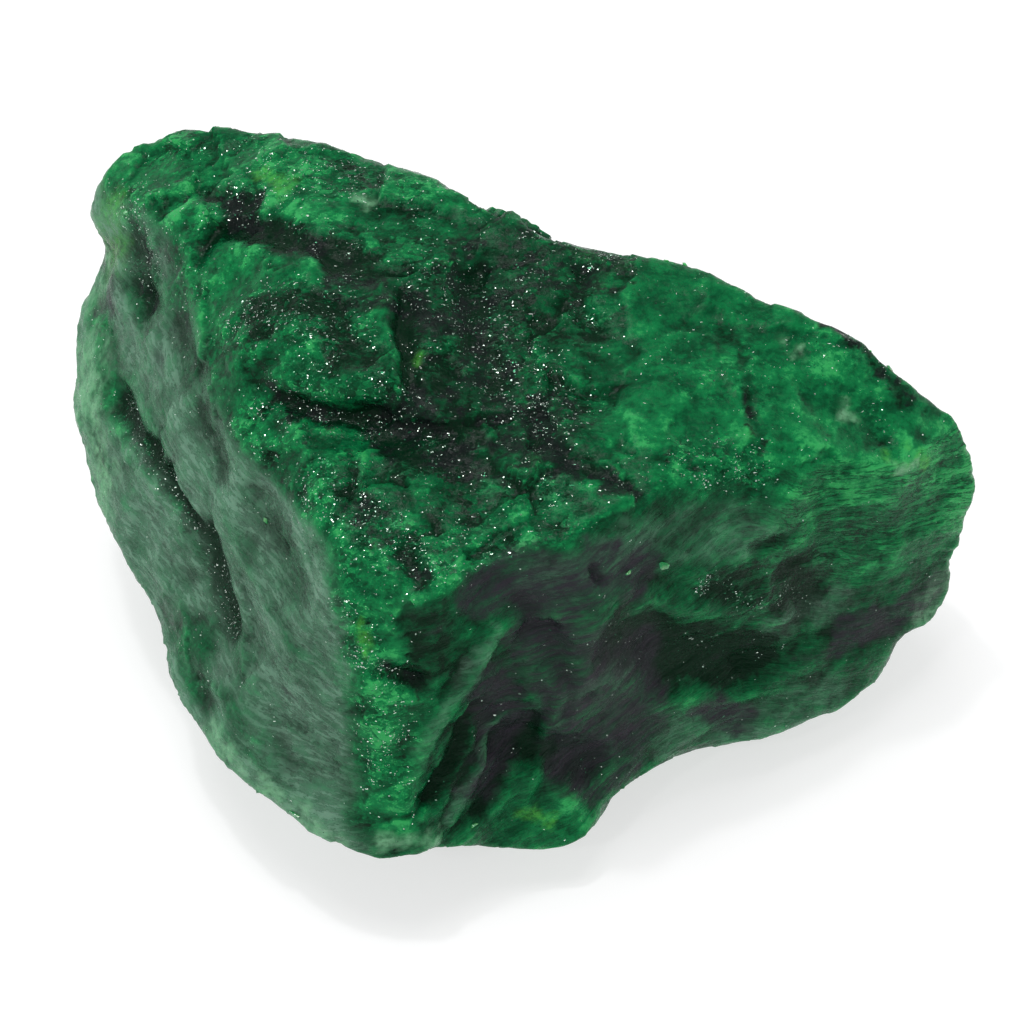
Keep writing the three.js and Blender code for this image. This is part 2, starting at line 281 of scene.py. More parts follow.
# Chips that stand out of the surface: (length, tone, place). Tone 0 is deep, 1 is brightest.
CHIPS = [
    (0.5, 0.7, (-13.4, -7.3, 19.1)),
    (0.7, 0.8, (-11.6, -17.2, 7)),
    (1.0, 0.75, (7.5, -10.8, 19.5)),
    (0.5, 0.75, (5.8, -11.7, 20)),
    (0.5, 1.0, (9.3, 6.7, 25)),
    (0.4, 1.0, (8.2, 6.9, 25.1)),
    (0.6, 0.8, (20.4, 2, 21.6)),
    (0.5, 0.9, (19.3, 2.7, 22.1)),
    (0.6, 0.95, (-21.4, 13.4, 21.6)),
    (0.6, 0.85, (-2.4, -17.6, 6.2)),
    (0.8, 0.8, (-8, 18, 12)),
    (0.7, 0.8, (14, 9.8, 10)),
    (0.9, 0.8, (3, 14.4, 10.5)),
]


# ---------------------------------------------------------------- settings


def length(name, description, millimetres):
    """A length setting, kept in metres and shown in the scene's unit."""
    return FloatProperty(
        name=name, description=description, default=millimetres * MM, min=0, unit="LENGTH", precision=5
    )


def share(name, description, default):
    """A setting from nothing to a whole."""
    return FloatProperty(
        name=name, description=description, default=default, min=0, max=1, subtype="FACTOR"
    )


def tint(name, description, default):
    """A colour setting."""
    return FloatVectorProperty(
        name=name, description=description, default=default, size=4, min=0, max=1, subtype="COLOR"
    )


class EmeraldSurface(bpy.types.PropertyGroup):
    """Sizes of the stone's broken surface."""

    step: length("Mesh step", "Distance between neighbouring points of the surface", 0.265)
    chip: length("Chip", "Width of the larger fracture facets", 3.6)
    chip_depth: length("Chip depth", "How far the larger facets tilt out of the surface", 0.42)
    flake: length("Small chip", "Width of the smaller fracture facets", 1.2)
    flake_depth: length("Small chip depth", "How far the smaller facets tilt", 0.16)
    fold_depth: length("Fold depth", "Height of the soft folds that run along the walls", 0.5)
    layer_depth: length("Layer depth", "How far the thin layers stand proud of each other", 0.1)
    flute_depth: length("Flute depth", "Height of the ribs beside the sharp corner", 0.6)
    grain_depth: length("Grain depth", "Height of the fine grain", 0.07)


class EmeraldColours(bpy.types.PropertyGroup):
    """Colours of the beryl and of what grows in it."""

    deep: tint("Deep", "Green of thick, shaded beryl", (0.0012, 0.016, 0.006, 1))
    green: tint("Green", "Main green of the beryl", (0.002, 0.072, 0.024, 1))
    bright: tint("Bright", "Green of the clear windows", (0.005, 0.165, 0.048, 1))
    glow: tint("Glow", "Green of the clearest spots", (0.03, 0.32, 0.09, 1))
    lime: tint("Lime", "Yellow-green of thin edges", (0.08, 0.4, 0.05, 1))
    # The waxy colour also stands for painted sheen, the reflection of the white surroundings.
    wax: tint("Wax", "Grey-green of the waxy skin", (0.125, 0.245, 0.17, 1))
    # Pale also serves for painted highlights and rim reflections.
    pale: tint("Pale", "Whitish green of bruised edges", (0.16, 0.38, 0.21, 1))
    # Dusk also serves as painted shade on the front wall.
    dusk: tint("Dusk", "Purple-grey of the film on the walls", (0.024, 0.022, 0.029, 1))
    mica: tint("Mica", "Near black of the seam", (0.006, 0.009, 0.009, 1))


class EmeraldSparkle(bpy.types.PropertyGroup):
    """Mica flakes, and the tiny crystal faces that flash."""

    count: FloatProperty(
        name="Flakes", description="Flakes on each square millimetre at most", default=2.5, min=0
    )
    size: length("Flake size", "Width of a mica flake", 0.09)
    seed: IntProperty(name="Seed", description="Which random arrangement of flakes is used", default=7)
    facet: length("Facet", "Width of the tiny crystal faces, which only turn the light", 0.1)
    glints: share("Glints", "Share of the tiny faces that flash where glitter is fullest", 0.42)


class EmeraldStudio(bpy.types.PropertyGroup):
    """Camera, floor and light."""

    distance: length("Distance", "From the camera to the point that it looks at", 260)
    raised: FloatProperty(
        name="Raised", description="Camera's angle above level", default=math.radians(48),
        subtype="ANGLE"
    )
    lens: FloatProperty(name="Lens", description="Focal length in millimetres", default=166.4, min=1)
    light: FloatProperty(
        name="Soft light", description="Power of the broad light", default=2.6, unit="POWER"
    )
    spark: FloatProperty(
        name="Hard light", description="Power of the smaller light overhead", default=0.9, unit="POWER"
    )
    room: share("Room", "Brightness of the room beyond the lights", 0.4)


class EmeraldSettings(bpy.types.PropertyGroup):
    """Everything that a user would change."""

    surface: PointerProperty(type=EmeraldSurface)
    colours: PointerProperty(type=EmeraldColours)
    sparkle: PointerProperty(type=EmeraldSparkle)
    studio: PointerProperty(type=EmeraldStudio)


# ---------------------------------------------------------------- node helpers


def place(tree, kind, inputs=None, **settings):
    """Adds a node. An input that is itself a socket is linked, and any other is set."""
    made = tree.nodes.new(kind)
    for name, value in settings.items():
        setattr(made, name, value)
    for key, value in (inputs or {}).items():
        if isinstance(value, bpy.types.NodeSocket):
            tree.links.new(value, made.inputs[key])
        else:
            made.inputs[key].default_value = value
    return made


def calc(tree, operation, *values, clamp=False):
    """The result of one Math node."""
    inputs = dict(enumerate(values))
    return place(tree, "ShaderNodeMath", inputs, operation=operation, use_clamp=clamp).outputs[0]


def vector_calc(tree, operation, first, second=None, scale=None):
    """The result of one Vector Math node."""
    inputs = {0: first}
    if second is not None:
        inputs[1] = second
    if scale is not None:
        inputs["Scale"] = scale
    made = place(tree, "ShaderNodeVectorMath", inputs, operation=operation)
    return made.outputs["Value" if operation == "DOT_PRODUCT" else "Vector"]


def spread(tree, value, low, high, to_low=0.0, to_high=1.0):
    """A value taken smoothly from one range to another."""
    inputs = {"Value": value, "From Min": low, "From Max": high, "To Min": to_low, "To Max": to_high}
    return place(tree, "ShaderNodeMapRange", inputs, interpolation_type="SMOOTHSTEP").outputs["Result"]


def cloud(tree, vector, scale, detail=4.0, roughness=0.55, output="Fac", distortion=0.0):
    """Noise from 0 to 1, or in colour."""
    inputs = {"Vector": vector, "Scale": scale, "Detail": detail, "Roughness": roughness,
              "Distortion": distortion}
    return place(tree, "ShaderNodeTexNoise", inputs).outputs[output]


def layered(tree, layers, along, through, detail):
    """Noise drawn out along the stone's layers. The two scales are per millimetre."""
    drawn_out = vector_calc(tree, "MULTIPLY", layers, (along, along, through))
    return cloud(tree, drawn_out, 1.0, detail, 0.65)


def centred(tree, value, reach=1.0):
    """Noise from 0 to 1 taken to minus and plus its reach."""
    return calc(tree, "MULTIPLY_ADD", value, 2.0 * reach, -reach)


def with_some(tree, base, value, amount, clamp=False):
    """A value with an amount of another added to it."""
    return calc(tree, "MULTIPLY_ADD", value, amount, base, clamp=clamp)


def inverse(tree, value):
    """One less the value."""
    return calc(tree, "SUBTRACT", 1.0, value)


def times(tree, *values):
    """The product of several values."""
    product = values[0]
    for each in values[1:]:
        product = calc(tree, "MULTIPLY", product, each)
    return product


def total(tree, *values):
    """The sum of several values."""
    summed = values[0]
    for each in values[1:]:
        summed = calc(tree, "ADD", summed, each)
    return summed


def blend(tree, share_of_second, first, second):
    """Two colours mixed."""
    inputs = {0: share_of_second, 6: first, 7: second}
    return place(tree, "ShaderNodeMix", inputs, data_type="RGBA").outputs[2]


def stored(tree, name, kind="FLOAT"):
    """What a Geometry Nodes tree reads of a value kept on the mesh."""
    return place(tree, "GeometryNodeInputNamedAttribute", {"Name": name}, data_type=kind).outputs[0]


def group(name, kind, inputs, outputs):
    """A new node group with its sockets, and its input and output nodes."""
    tree = bpy.data.node_groups.new(name, kind)
    for direction, sockets in (("INPUT", inputs), ("OUTPUT", outputs)):
        for label, socket_type, default in sockets:
            made = tree.interface.new_socket(
                name=label, in_out=direction, socket_type="NodeSocket" + socket_type)
            if default is not None:
                made.default_value = default
    return tree, tree.nodes.new("NodeGroupInput").outputs, tree.nodes.new("NodeGroupOutput").inputs


def geometry_group(name, numbers):
    """A new Geometry Nodes tree with geometry in and out, and inputs for numbers."""
    geometry = ("Geometry", "Geometry", None)
    tree, given, result = group(name, "GeometryNodeTree", [geometry] + numbers, [geometry])
    tree.is_modifier = True
    return tree, given, result


def end_tree(tree, geometry, material, result):
    """Ends a Geometry Nodes tree with real geometry in one material."""
    solid = place(tree, "GeometryNodeRealizeInstances", {"Geometry": geometry})
    finished = place(tree, "GeometryNodeSetMaterial", {"Geometry": solid.outputs[0]})
    finished.inputs["Material"].default_value = bpy.data.materials[material]
    tree.links.new(finished.outputs[0], result["Geometry"])


# ---------------------------------------------------------------- meshes as arrays


def coordinates(mesh):
    """The mesh's points as rows of x, y and z, in metres."""
    flat = np.empty(len(mesh.vertices) * 3, np.float32)
    mesh.vertices.foreach_get("co", flat)
    return flat.reshape(-1, 3).astype(float)


def point_normals(mesh):
    """The direction that the surface faces at each point."""
    flat = np.empty(len(mesh.vertices) * 3, np.float32)
    mesh.vertex_normals.foreach_get("vector", flat)
    return flat.reshape(-1, 3).astype(float)


def smoothed(points, mesh, passes):
    """The points after each has moved to the mean of its neighbours a number of times."""
    ends = np.empty(len(mesh.edges) * 2, np.int32)
    mesh.edges.foreach_get("vertices", ends)
    ends = ends.reshape(-1, 2)
    total = len(points)
    near = np.bincount(ends.ravel(), minlength=total)[:, None]
    for _ in range(passes):
        sums = np.zeros_like(points)
        for axis in range(3):
            sums[:, axis] += np.bincount(ends[:, 0], points[ends[:, 1], axis], total)
            sums[:, axis] += np.bincount(ends[:, 1], points[ends[:, 0], axis], total)
        points = sums / near
    return points


def store(mesh, name, values):
    """Writes one number for each point, for the node trees to read."""
    attribute = mesh.attributes.new(name, "FLOAT", "POINT")
    attribute.data.foreach_set("value", np.asarray(values, np.float32))


def distance_to_line(points, line):
    """How far each point is from a line through several places."""
    nearest = np.full(len(points), np.inf)
    for start, end in zip(line, line[1:]):
        start = np.array(start, float)
        along = np.array(end, float) - start
        share_along = np.clip((points - start) @ along / (along @ along), 0, 1)
        gap = np.linalg.norm(points - start - share_along[:, None] * along, axis=1)
        nearest = np.minimum(nearest, gap)
    return nearest


def ease(values):
    """Takes 0 to 1 smoothly to 0 to 1."""
    held = np.clip(values, 0, 1)
    return held * held * (3 - 2 * held)


def wandering(points, reach, across):
    """Points in millimetres, each moved by a smooth random amount."""
    noise.seed_set(NOISE_SEED)
    return points + reach * np.array([noise.noise_vector(Vector(p) / across) for p in points])


def only_mesh(source, name):
    """The evaluated object as a plain mesh object, in place of the source."""
    evaluated = source.evaluated_get(bpy.context.evaluated_depsgraph_get())
    mesh = bpy.data.meshes.new_from_object(evaluated)
    mesh.name = name
    bpy.data.objects.remove(source)
    made = bpy.data.objects.new(name, mesh)
    bpy.context.scene.collection.objects.link(made)
    return made


def set_inputs(modifier, values):
    """Sets a Geometry Nodes modifier's inputs by the identifiers of their sockets."""
    for item in modifier.node_group.interface.items_tree:
        if item.in_out == "INPUT" and item.name in values:
            modifier[item.identifier] = values[item.name]


# ---------------------------------------------------------------- the stone's shape


def remeshed_lump(step):
    """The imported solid's surface, welded, evened out and rounded a little along its facets."""
    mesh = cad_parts[NODE].data.copy()
    welded = bmesh.new()
    welded.from_mesh(mesh)
    bmesh.ops.remove_doubles(welded, verts=welded.verts, dist=0.01 * MM)
    welded.to_mesh(mesh)
    welded.free()
    mesh.materials.clear()
    lump = bpy.data.objects.new("emerald_stone", mesh)
    bpy.context.scene.collection.objects.link(lump)
    even = lump.modifiers.new("Even", "REMESH")
    even.mode = "VOXEL"
    even.voxel_size = step
    even.use_smooth_shade = True
    rounder = lump.modifiers.new("Round", "SMOOTH")
    rounder.factor = 0.5
    rounder.iterations = 5
    return only_mesh(lump, "emerald_stone")


def mark_surface(mesh):
    """Stores where each mark lies, and how deep the listed relief is, in millimetres."""
    points = coordinates(mesh) / MM
    facing = point_normals(mesh)
    broad = smoothed(facing, mesh, 8)
    rough_place = wandering(points, 0.7, 1.3) + wandering(points, 0.35, 0.45) - points
    for name, strokes in COLOUR_MARKS.items():
        mask = np.zeros(len(points))
        for width, line in strokes:
            mask = np.maximum(mask, 1 - distance_to_line(rough_place, line) / (1.8 * width))
        store(mesh, "mark_" + name, ease(mask * 1.7))
    relief = np.zeros(len(points))
    shaped_place = wandering(points, 0.3, 1.8)
    for width, depth, line in RELIEF_MARKS:
        relief += depth * ease(1 - distance_to_line(shaped_place, line) / (1.5 * width))
    store(mesh, "relief", relief)
    calm = wandering(smoothed(points, mesh, 120), 0.6, 6)
    at_end = ease((points[:, 0] - 9) / 6)
    calm[:, 2] = (1 - at_end) * (calm @ THROUGH_LAYERS) + at_end * (calm @ THROUGH_END)
    layers = mesh.attributes.new("layers", "FLOAT_VECTOR", "POINT")
    layers.data.foreach_set("vector", calm.astype(np.float32).ravel())
    store(mesh, "fluted", ease(1.5 - distance_to_line(points, FLUTED) / 2))
    nose = ease(1.4 - distance_to_line(rough_place, NOSE) / 2)
    height = ease(rough_place[:, 2] - 22.8)
    top = np.maximum.reduce([ease((broad[:, 2] - 0.4) / 0.3), nose, height])
    store(mesh, "top", top)
    store(mesh, "sugary", 1 - 0.5 * ease((rough_place[:, 0] - 3) / 4))
    # The left wall carries the waxy film and its painted sheen.
    store(mesh, "left", ease(-0.1 - 2 * broad[:, 0]) * (1 - top))
    store(mesh, "end", at_end * (1 - top) * ease((rough_place[:, 2] - 10) / 4))


def stone_noises(tree):
    """The places and noises that the stone's covers and its shape share."""
    where = place(tree, "GeometryNodeInputPosition").outputs[0]
    millimetres = vector_calc(tree, "SCALE", where, scale=1 / MM)
    drift = cloud(tree, millimetres, 0.35, 3, 0.55, "Color")
    drift = vector_calc(tree, "SUBTRACT", drift, (0.5, 0.5, 0.5))
    bent = vector_calc(tree, "ADD", millimetres, vector_calc(tree, "SCALE", drift, scale=1.5))
    top = stored(tree, "top")
    layers = stored(tree, "layers", "FLOAT_VECTOR")
    return SimpleNamespace(
        millimetres=millimetres,
        bent=bent,
        layers=layers,
        up=place(tree, "ShaderNodeSeparateXYZ", {0: where}).outputs[2],
        top=top,
        walls=inverse(tree, top),
        broad=cloud(tree, millimetres, 0.17, 4, 0.6),
        middle=cloud(tree, millimetres, 0.7, 5, 0.65, distortion=0.5),
        tear=cloud(tree, bent, 1.1, 5, 0.7),
        streak=layered(tree, layers, 0.18, 0.9, 4),
    )


def flat_facets(tree, bent, width, depth, stretch):
    """Flat facets with random tilts: their height, and a random number for each."""
    cells = vector_calc(tree, "MULTIPLY", bent, stretch)
    cells = vector_calc(tree, "SCALE", cells, scale=calc(tree, "DIVIDE", MM, width))
    cell = place(tree, "ShaderNodeTexVoronoi", {"Vector": cells, "Scale": 1.0, "Randomness": 1.0})
    from_middle = vector_calc(tree, "SUBTRACT", cells, cell.outputs["Position"])
    tilt = vector_calc(tree, "SUBTRACT", cell.outputs["Color"], (0.5, 0.5, 0.5))
    height = vector_calc(tree, "DOT_PRODUCT", from_middle, tilt)
    red = place(tree, "ShaderNodeSeparateXYZ", {0: cell.outputs["Color"]}).outputs[0]
    return times(tree, height, 2.0, depth), red


def torn(tree, noises, mark, reach):
    """A mark with its edge torn by noise."""
    mark = times(tree, stored(tree, mark), 0.75)
    return spread(tree, total(tree, mark, centred(tree, noises.tear, reach)), 0.16, 0.8)


def stone_covers(tree, noises, mosaic):
    """What lies where on the stone, by the names that it is stored under."""
    top, walls = noises.top, noises.walls
    # Hollow is 1 in the cut grooves: painted shade goes into it, and the painted sheen stays out.
    hollow = calc(tree, "MULTIPLY", stored(tree, "relief"), -1.6, clamp=True)

    # The black mica, torn so that green shows through it.
    seam = total(tree, times(tree, stored(tree, "mark_mica"), 0.62), centred(tree, noises.tear, 0.8))
    seam = total(tree, seam, centred(tree, noises.middle, 0.5), times(tree, mosaic, 0.2))
    mica = spread(tree, seam, 0.3, 0.92)

    # The dusky film, also painted shade on the front wall, from the marks and in stray streaks on the
    # walls, but hardly at the right end.
    stray = times(tree, walls, spread(tree, noises.streak, 0.6, 0.72, 0.0, 0.6))
    stray = times(tree, stray, with_some(tree, 1.0, stored(tree, "end"), -0.9))
    dusk = calc(tree, "MAXIMUM", torn(tree, noises, "mark_dusk", 0.6), stray)

    # The waxy film of the left wall, and its traces elsewhere, but not in hollows. Its pale colour is
    # partly real waxy skin and partly painted sheen, the reflection of the white surroundings.
    wax = total(tree, noises.streak, centred(tree, noises.middle, 0.25))
    wax = spread(tree, wax, 0.3, 0.62, 0.3, 1.0)
    # The film marks: waxy film, and painted sheen on the front wall's ribs.
    trace = times(tree, stored(tree, "mark_film"), 0.4)
    trace = calc(tree, "MAXIMUM", times(tree, stored(tree, "left"), 0.95), trace)
    wax = times(tree, wax, walls, trace, with_some(tree, 1.0, hollow, -0.9))

    # How light the green is, with painted shade from the deep marks and in the cut grooves.
    tone = total(
        tree, 0.34, centred(tree, noises.broad, 0.4), centred(tree, noises.middle, 0.7),
        times(tree, mosaic, 0.2), times(tree, stored(tree, "mark_bright"), 0.2),
        times(tree, torn(tree, noises, "mark_deep", 0.8), -0.34),
        times(tree, stored(tree, "mark_mica"), -0.08), times(tree, hollow, -0.25))

    # Sugar is how grainy the surface is, and glitter how thickly the glints lie.
    uneven = spread(tree, cloud(tree, noises.bent, 0.3, 4, 0.6), 0.4, 0.6, 0.4, 1.0)
    sugar = times(tree, top, stored(tree, "sugary"), uneven)
    for rougher in (mica, times(tree, hollow, 0.4), stored(tree, "mark_sparkle")):
        sugar = calc(tree, "MAXIMUM", sugar, rougher)
    clusters = spread(tree, cloud(tree, noises.millimetres, 0.7, 5, 0.75), 0.44, 0.64, 0.1, 1.0)
    crowd = times(tree, stored(tree, "mark_sparkle"), spread(tree, noises.tear, 0.4, 0.62), 0.8)
    glitter = times(tree, calc(tree, "MAXIMUM", sugar, 0.05), clusters, 0.66)
    glitter = total(tree, glitter, crowd)
    # Pale marks: bruised edges and milky spots, partly painted highlights.
    pale = times(tree, stored(tree, "mark_pale"), spread(tree, noises.tear, 0.4, 0.6, 0.1, 1.0))
    return {
        "mica": mica, "dusk": dusk, "wax": wax, "tone": tone, "sugar": sugar, "glitter": glitter,
        "lime": stored(tree, "mark_lime"), "pale": pale,
    }


def stone_height(tree, value, noises, mica, chips, splinters):
    """How far each point of the stone moves out, in metres."""
    # The broken top: chips all over, and splinters where it is rubbly.
    sugary = stored(tree, "sugary")
    broken = spread(tree, noises.top, 0.0, 1.0, 0.35, 1.0)
    rubble = spread(tree, cloud(tree, noises.bent, 0.25, 3, 0.6), 0.4, 0.6, 0.3, 0.8)
    rubble = times(tree, broken, calc(tree, "MAXIMUM", times(tree, rubble, sugary), mica))
    height = total(tree, times(tree, chips, broken, sugary), times(tree, splinters, rubble))

    # The walls: soft folds and thin sheets along the layers.
    folds = centred(tree, layered(tree, noises.layers, 0.14, 0.45, 3))
    folds = times(tree, folds, value["Fold depth"], noises.walls)
    sheets = centred(tree, layered(tree, noises.layers, 0.3, 1.5, 3))
    sheets = times(tree, sheets, value["Layer depth"], noises.walls)
    sheets = times(tree, sheets, total(tree, stored(tree, "end"), 0.6))

    # The ribs: noise that hardly changes along their direction.
    down = vector_calc(tree, "DOT_PRODUCT", noises.millimetres, ALONG_FLUTES)
    down = place(tree, "ShaderNodeCombineXYZ", {0: down, 1: down, 2: down}).outputs[0]
    down = vector_calc(tree, "MULTIPLY", down, tuple(-0.86 * each for each in ALONG_FLUTES))
    ribs = cloud(tree, vector_calc(tree, "ADD", noises.millimetres, down), 0.8, 3, 0.5)
    ribs = times(tree, centred(tree, ribs), value["Flute depth"], stored(tree, "fluted"))
    grain = centred(tree, cloud(tree, noises.bent, 1.2, 4, 0.6))
    grain = times(tree, grain, value["Grain depth"], total(tree, rubble, 0.5))
    by_hand = times(tree, stored(tree, "relief"), MM)
    height = total(tree, height, folds, sheets, ribs, grain, by_hand)

    # The resting face and the hem just above it stay as they are.
    return times(tree, height, spread(tree, noises.up, 0.2 * MM, 1.4 * MM))


def relief_tree():
    """The Geometry Nodes tree that breaks the surface up and says what lies where on it."""
    names = ("Chip", "Chip depth", "Small chip", "Small chip depth", "Fold depth", "Layer depth",
             "Flute depth", "Grain depth")
    tree, value, result = geometry_group("Broken surface", [(name, "Float", 0.0) for name in names])
    noises = stone_noises(tree)
    chips, chip_tone = flat_facets(
        tree, noises.bent, value["Chip"], value["Chip depth"], (1, 1, 1.3))
    splinters, splinter_tone = flat_facets(
        tree, noises.bent, value["Small chip"], value["Small chip depth"], (0.8, 1, 1.3))
    mosaic = total(tree, centred(tree, splinter_tone, 0.7), centred(tree, chip_tone, 0.3))
    covers = stone_covers(tree, noises, times(tree, mosaic, noises.top))
    kept = value["Geometry"]
    for name, field in covers.items():
        inputs = {"Geometry": kept, "Name": name, "Value": field}
        kept = place(tree, "GeometryNodeStoreNamedAttribute", inputs, data_type="FLOAT").outputs[0]
    height = stone_height(tree, value, noises, covers["mica"], chips, splinters)
    facing = place(tree, "GeometryNodeInputNormal").outputs["Normal"]
    move = vector_calc(tree, "SCALE", facing, scale=height)
    moved = place(tree, "GeometryNodeSetPosition", {"Geometry": kept, "Offset": move})
    end_tree(tree, moved.outputs[0], "Beryl", result)
    return tree


def store_crests(mesh):
    """Stores how far each point stands out of the surface near it and farther round it."""
    points = coordinates(mesh) / MM
    facing = point_normals(mesh)
    # These measures paint light onto what stands out and shade into what sinks.
    for name, passes, most in (("crest", 6, 0.12), ("swell", 60, 0.45)):
        out = ((points - smoothed(points, mesh, passes)) * facing).sum(1)
        store(mesh, name, np.clip(out / most, -1, 1))


def broken_lump(surface):
    """The finished stone as one mesh object."""
    lump = remeshed_lump(surface.step)
    mark_surface(lump.data)
    lump.modifiers.new("Relief", "NODES").node_group = relief_tree()
    set_inputs(lump.modifiers["Relief"], {
        "Chip": surface.chip, "Chip depth": surface.chip_depth,
        "Small chip": surface.flake, "Small chip depth": surface.flake_depth,
        "Fold depth": surface.fold_depth, "Layer depth": surface.layer_depth,
        "Flute depth": surface.flute_depth, "Grain depth": surface.grain_depth,
    })
    stone = only_mesh(lump, "emerald_stone")
    points = coordinates(stone.data)
    low, high = (np.array(corner) for corner in CAD_BOX)
    points = np.clip(points, low, high)
    stone.data.vertices.foreach_set("co", points.astype(np.float32).ravel())
    stone.data.update()
    store_crests(stone.data)
    return stone


# ---------------------------------------------------------------- materials


def tones_group(colours):
    """Shader group: the beryl's greens, from deep to bright, for a tone from 0 to 1."""
    inputs = [("Tone", "Float", 0.5)]
    outputs = [("Color", "Color", None)]
    tree, given, result = group("Beryl tones", "ShaderNodeTree", inputs, outputs)
    ramp = place(tree, "ShaderNodeValToRGB", {"Fac": given["Tone"]})
    stops = ramp.color_ramp.elements
    stops[0].color = colours.deep
    stops[1].color = colours.glow
    stops.new(0.4).color = colours.green
    stops.new(0.75).color = colours.bright
    tree.links.new(ramp.outputs["Color"], result["Color"])
    return tree


def facets_group():
    """Shader group: a normal that turns at random from one tiny crystal face to the next.

    Random and Grain are random numbers for each fine and each coarse face. Spot is 1 near
    the middle of a fine face, and Light says how pale its flash would be.
    """
    inputs = [("Vector", "Vector", None), ("Size", "Float", 0.1), ("Tilt", "Float", 0.5)]
    outputs = [("Normal", "Vector", None)]
    outputs += [(name, "Float", None) for name in ("Random", "Grain", "Spot", "Light")]
    tree, given, result = group("Crystal facets", "ShaderNodeTree", inputs, outputs)
    normal = place(tree, "ShaderNodeNewGeometry").outputs["Normal"]
    for share_of_size, share_of_tilt, output in ((1.0, 1.0, "Random"), (3.2, 0.7, "Grain")):
        scale = calc(tree, "DIVIDE", 1 / share_of_size, given["Size"])
        cells = place(tree, "ShaderNodeTexVoronoi", {"Vector": given["Vector"], "Scale": scale})
        colour = cells.outputs["Color"]
        tilt = calc(tree, "MULTIPLY", given["Tilt"], share_of_tilt)
        turn = vector_calc(tree, "SUBTRACT", colour, (0.5, 0.5, 0.5))
        normal = vector_calc(tree, "ADD", normal, vector_calc(tree, "SCALE", turn, scale=tilt))
        parts = place(tree, "ShaderNodeSeparateColor", {0: colour}).outputs
        tree.links.new(parts[0], result[output])
        if output == "Random":
            reach = calc(tree, "MULTIPLY_ADD", parts[2], 0.32, 0.12)
            near_middle = calc(tree, "LESS_THAN", cells.outputs["Distance"], reach)
            tree.links.new(near_middle, result["Spot"])
            tree.links.new(parts[1], result["Light"])
    tree.links.new(vector_calc(tree, "NORMALIZE", normal), result["Normal"])
    return tree


def new_material(name):
    """A material with a Principled BSDF, and its place in millimetres."""
    material = bpy.data.materials.new(name)
    material.use_nodes = True
    tree = material.node_tree
    shader = tree.nodes["Principled BSDF"]
    where = place(tree, "ShaderNodeTexCoord").outputs["Object"]
    where = place(tree, "ShaderNodeMapping", {"Vector": where, "Scale": (1 / MM,) * 3}).outputs[0]
    return material, tree, shader, where


def shader_attribute(tree, name):
    """What a material reads of a value kept on the mesh."""
    return place(tree, "ShaderNodeAttribute", attribute_name=name).outputs["Fac"]


def grooves(tree, value, width):
    """1 in narrow grooves, where a noise is near its middle, and 0 between them."""
    gap = calc(tree, "ABSOLUTE", calc(tree, "SUBTRACT", value, 0.5))
    return inverse(tree, spread(tree, gap, 0.0, width))


def beryl_patterns(tree, where):
    """The patterns that the stone's colour and its ripple share."""
    layers = place(tree, "ShaderNodeAttribute", attribute_name="layers").outputs["Vector"]
    hair = layered(tree, layers, 0.9, 4.5, 4)
    lines = layered(tree, layers, 0.25, 1.7, 4)
    walls = inverse(tree, shader_attribute(tree, "top"))
    at_end = shader_attribute(tree, "end")
    return SimpleNamespace(
        fine=cloud(tree, where, 3.2, 4, 0.65),
        hair=hair,
        lines=lines,
        walls=walls,
        at_end=at_end,
        sugar=shader_attribute(tree, "sugar"),
        swell=shader_attribute(tree, "swell"),
        hairlines=times(tree, grooves(tree, hair, 0.035), walls),
        bands=times(tree, grooves(tree, lines, 0.03), at_end),
    )


def beryl_facets(tree, where, sugar, sparkle):
    """The tiny crystal faces' outputs, and 1 where one of them flashes."""
    facets = place(tree, "ShaderNodeGroup", {}, node_tree=bpy.data.node_groups["Crystal facets"])
    bend = vector_calc(tree, "SCALE", cloud(tree, where, 2.6, 2, 0.6, "Color"), scale=0.4)
    drawn_out = vector_calc(tree, "MULTIPLY", where, (0.7, 1.1, 1.3))
    tree.links.new(vector_calc(tree, "ADD", drawn_out, bend), facets.inputs["Vector"])
    facets.inputs["Size"].default_value = sparkle.facet / MM
    tree.links.new(calc(tree, "MULTIPLY_ADD", sugar, 0.3, 0.06), facets.inputs["Tilt"])
    wanted = with_some(tree, 1.0, shader_attribute(tree, "glitter"), -sparkle.glints)
    glint = calc(tree, "GREATER_THAN", facets.outputs["Random"], wanted)
    return facets.outputs, times(tree, glint, facets.outputs["Spot"])


def beryl_green(tree, patterns, facets, colours):
    """The green of the bare stone, with painted light and shade on its relief and painted glint specks.
    """
    tone = with_some(tree, shader_attribute(tree, "tone"), centred(tree, patterns.fine), 0.36)
    # Painted light on what stands out and painted shade in what sinks, near and farther round.
    tone = with_some(tree, tone, shader_attribute(tree, "crest"), 0.16)
    tone = with_some(tree, tone, patterns.swell, 0.2)
    tone = with_some(tree, tone, centred(tree, facets["Grain"], 0.24), patterns.sugar)
    # Painted glints: a few fine faces much lighter, the rest a little darker.
    painted_glint_specks = calc(tree, "POWER", facets["Random"], 4.0)
    painted_glint_specks = calc(tree, "MULTIPLY_ADD", painted_glint_specks, 0.36, -0.07)
    tone = with_some(tree, tone, painted_glint_specks, patterns.sugar)
    tone = with_some(tree, tone, patterns.hairlines, -0.18)
    tone = with_some(tree, tone, centred(tree, patterns.lines, 0.3), patterns.walls)
    stripes = calc(tree, "MULTIPLY_ADD", patterns.lines, 0.6, -0.18)
    tone = with_some(tree, tone, stripes, patterns.at_end)
    tone = with_some(tree, tone, patterns.bands, -0.4, clamp=True)
    tones = place(tree, "ShaderNodeGroup", {"Tone": tone}, node_tree=tones_group(colours))
    return tones.outputs["Color"]


